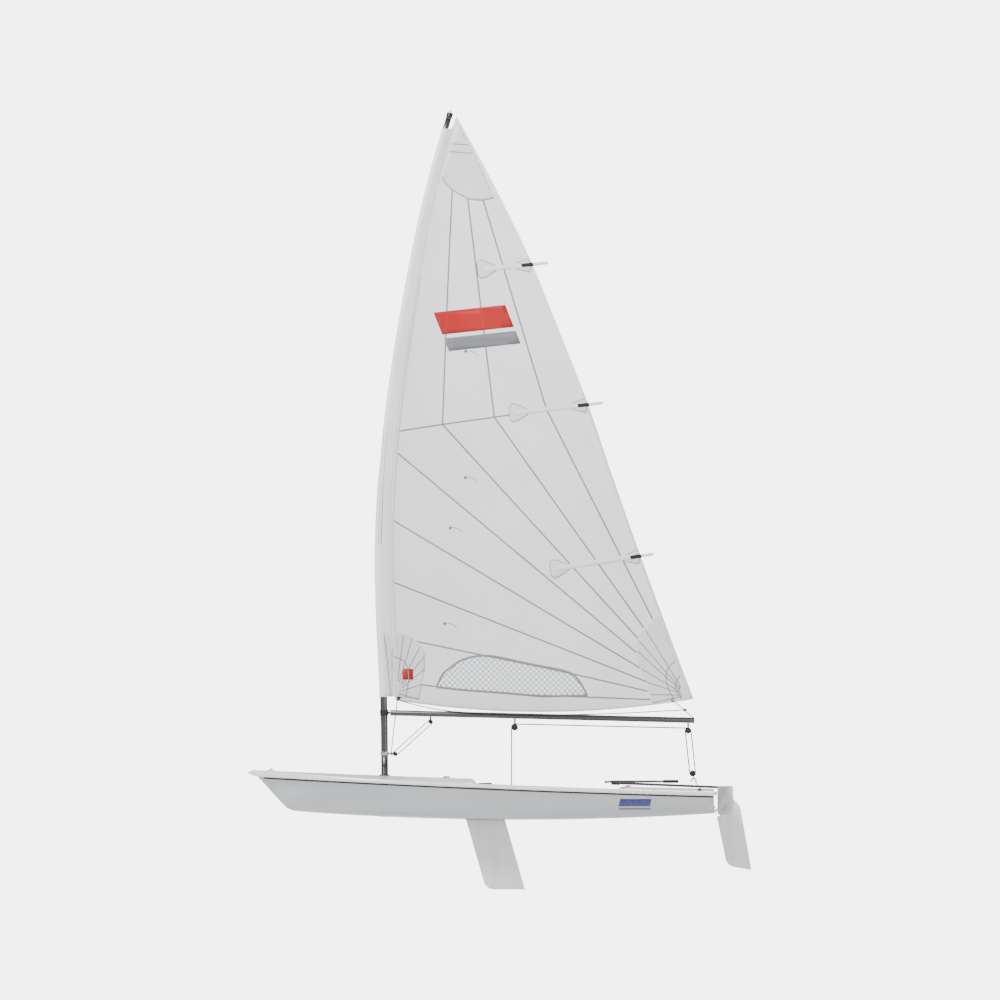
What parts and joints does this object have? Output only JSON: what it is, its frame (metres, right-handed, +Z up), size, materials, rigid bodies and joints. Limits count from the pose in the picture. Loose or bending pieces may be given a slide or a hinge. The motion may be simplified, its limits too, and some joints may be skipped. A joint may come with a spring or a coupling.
{
  "type": "sailing dinghy",
  "caption": "One-person sailing dinghy with a decked hull, a sleeved sail on a bent mast, a boom, a daggerboard and a kick-up rudder.",
  "frame": {"origin": "on the centreline at the plane the empty hull floats on, half way between the bow tip and the transom", "axes": "+X forward to the bow, +Y to port, +Z up"},
  "size_m": [4.569, 1.3798, 7.0636],
  "materials": {
    "hull_gelcoat": "polished gelcoat",
    "deck_gelcoat": "gelcoat with moulded non-slip",
    "foil_laminate": "smooth moulded foil",
    "case_plastic": "moulded",
    "black_plastic": "moulded nylon",
    "rubber_grip": "foam grip",
    "tiller_tube": "woven carbon tube",
    "stainless": "polished",
    "cast_alloy": "anodised",
    "spar_alloy": "satin anodised",
    "webbing": "woven webbing",
    "rope": "braided",
    "sailcloth": "woven polyester",
    "window_film": "scrim film",
    "batten_pocket": "woven polyester over a batten"
  },
  "bodies": {
    "hull": {"hull": "hull_gelcoat", "deck": "deck_gelcoat", "cockpit_tub": "deck_gelcoat", "mast_step": "case_plastic", "daggerboard_case": "case_plastic", "bow_eye": "black_plastic", "control_cleats": "black_plastic", "ratchet_block": "black_plastic", "traveller_fairleads": "black_plastic", "traveller_block": "black_plastic", "traveller_line": "rope", "traveller_cleat": "black_plastic", "hiking_strap": "webbing", "grab_rails": "black_plastic", "drain_plug": "black_plastic", "self_bailer": "stainless", "gudgeons": "stainless"},
    "rudder": {"rudder_head": "cast_alloy", "pintles": "stainless", "tiller": "tiller_tube", "pivot_bolt": "stainless"},
    "blade": {"rudder_blade": "foil_laminate"},
    "swivel": {"universal_joint": "black_plastic"},
    "extension": {"tiller_extension": "spar_alloy", "extension_grip": "rubber_grip"},
    "daggerboard": {"daggerboard": "foil_laminate", "daggerboard_handle": "black_plastic"},
    "rig": {"lower_mast": "spar_alloy", "upper_mast": "spar_alloy", "mast_collar": "black_plastic", "mast_cap": "black_plastic", "gooseneck": "black_plastic", "vang_tang": "stainless", "boom": "spar_alloy", "boom_end_cap": "black_plastic", "boom_block_aft": "black_plastic", "boom_block_mid": "black_plastic", "vang_blocks": "black_plastic", "sail": "sailcloth", "sail_sleeve": "sailcloth", "sail_window": "window_film", "batten_upper": "batten_pocket", "batten_middle": "batten_pocket", "batten_lower": "batten_pocket", "clew_fitting": "stainless"}
  },
  "joints": [
    {"name": "mast_turn", "type": "hinge", "parent": "hull", "child": "rig", "pos_m": [0.872, 0, 0.3], "axis": [0, 0, 1], "range_deg": [-90, 90]},
    {"name": "rudder_turn", "type": "hinge", "parent": "hull", "child": "rudder", "pos_m": [-2.131, 0, 0.09], "axis": [0, 0, 1], "range_deg": [-45, 45]},
    {"name": "blade_kick", "type": "hinge", "parent": "rudder", "child": "blade", "pos_m": [-2.212, 0, 0.062], "axis": [0, 1, 0], "range_deg": [0, 75]},
    {"name": "extension_swing", "type": "hinge", "parent": "rudder", "child": "swivel", "pos_m": [-1.133, 0, 0.267], "axis": [0, 0, -1], "range_deg": [0, 140]},
    {"name": "extension_lift", "type": "hinge", "parent": "swivel", "child": "extension", "pos_m": [-1.1661, 0.02586, 0.2775], "axis": [0.6157, 0.788, 0], "range_deg": [0, 70]},
    {"name": "board_lift", "type": "slide", "parent": "hull", "child": "daggerboard", "axis": [0.2756, 0, 0.9613], "range_m": [0, 0.5]}
  ]
}
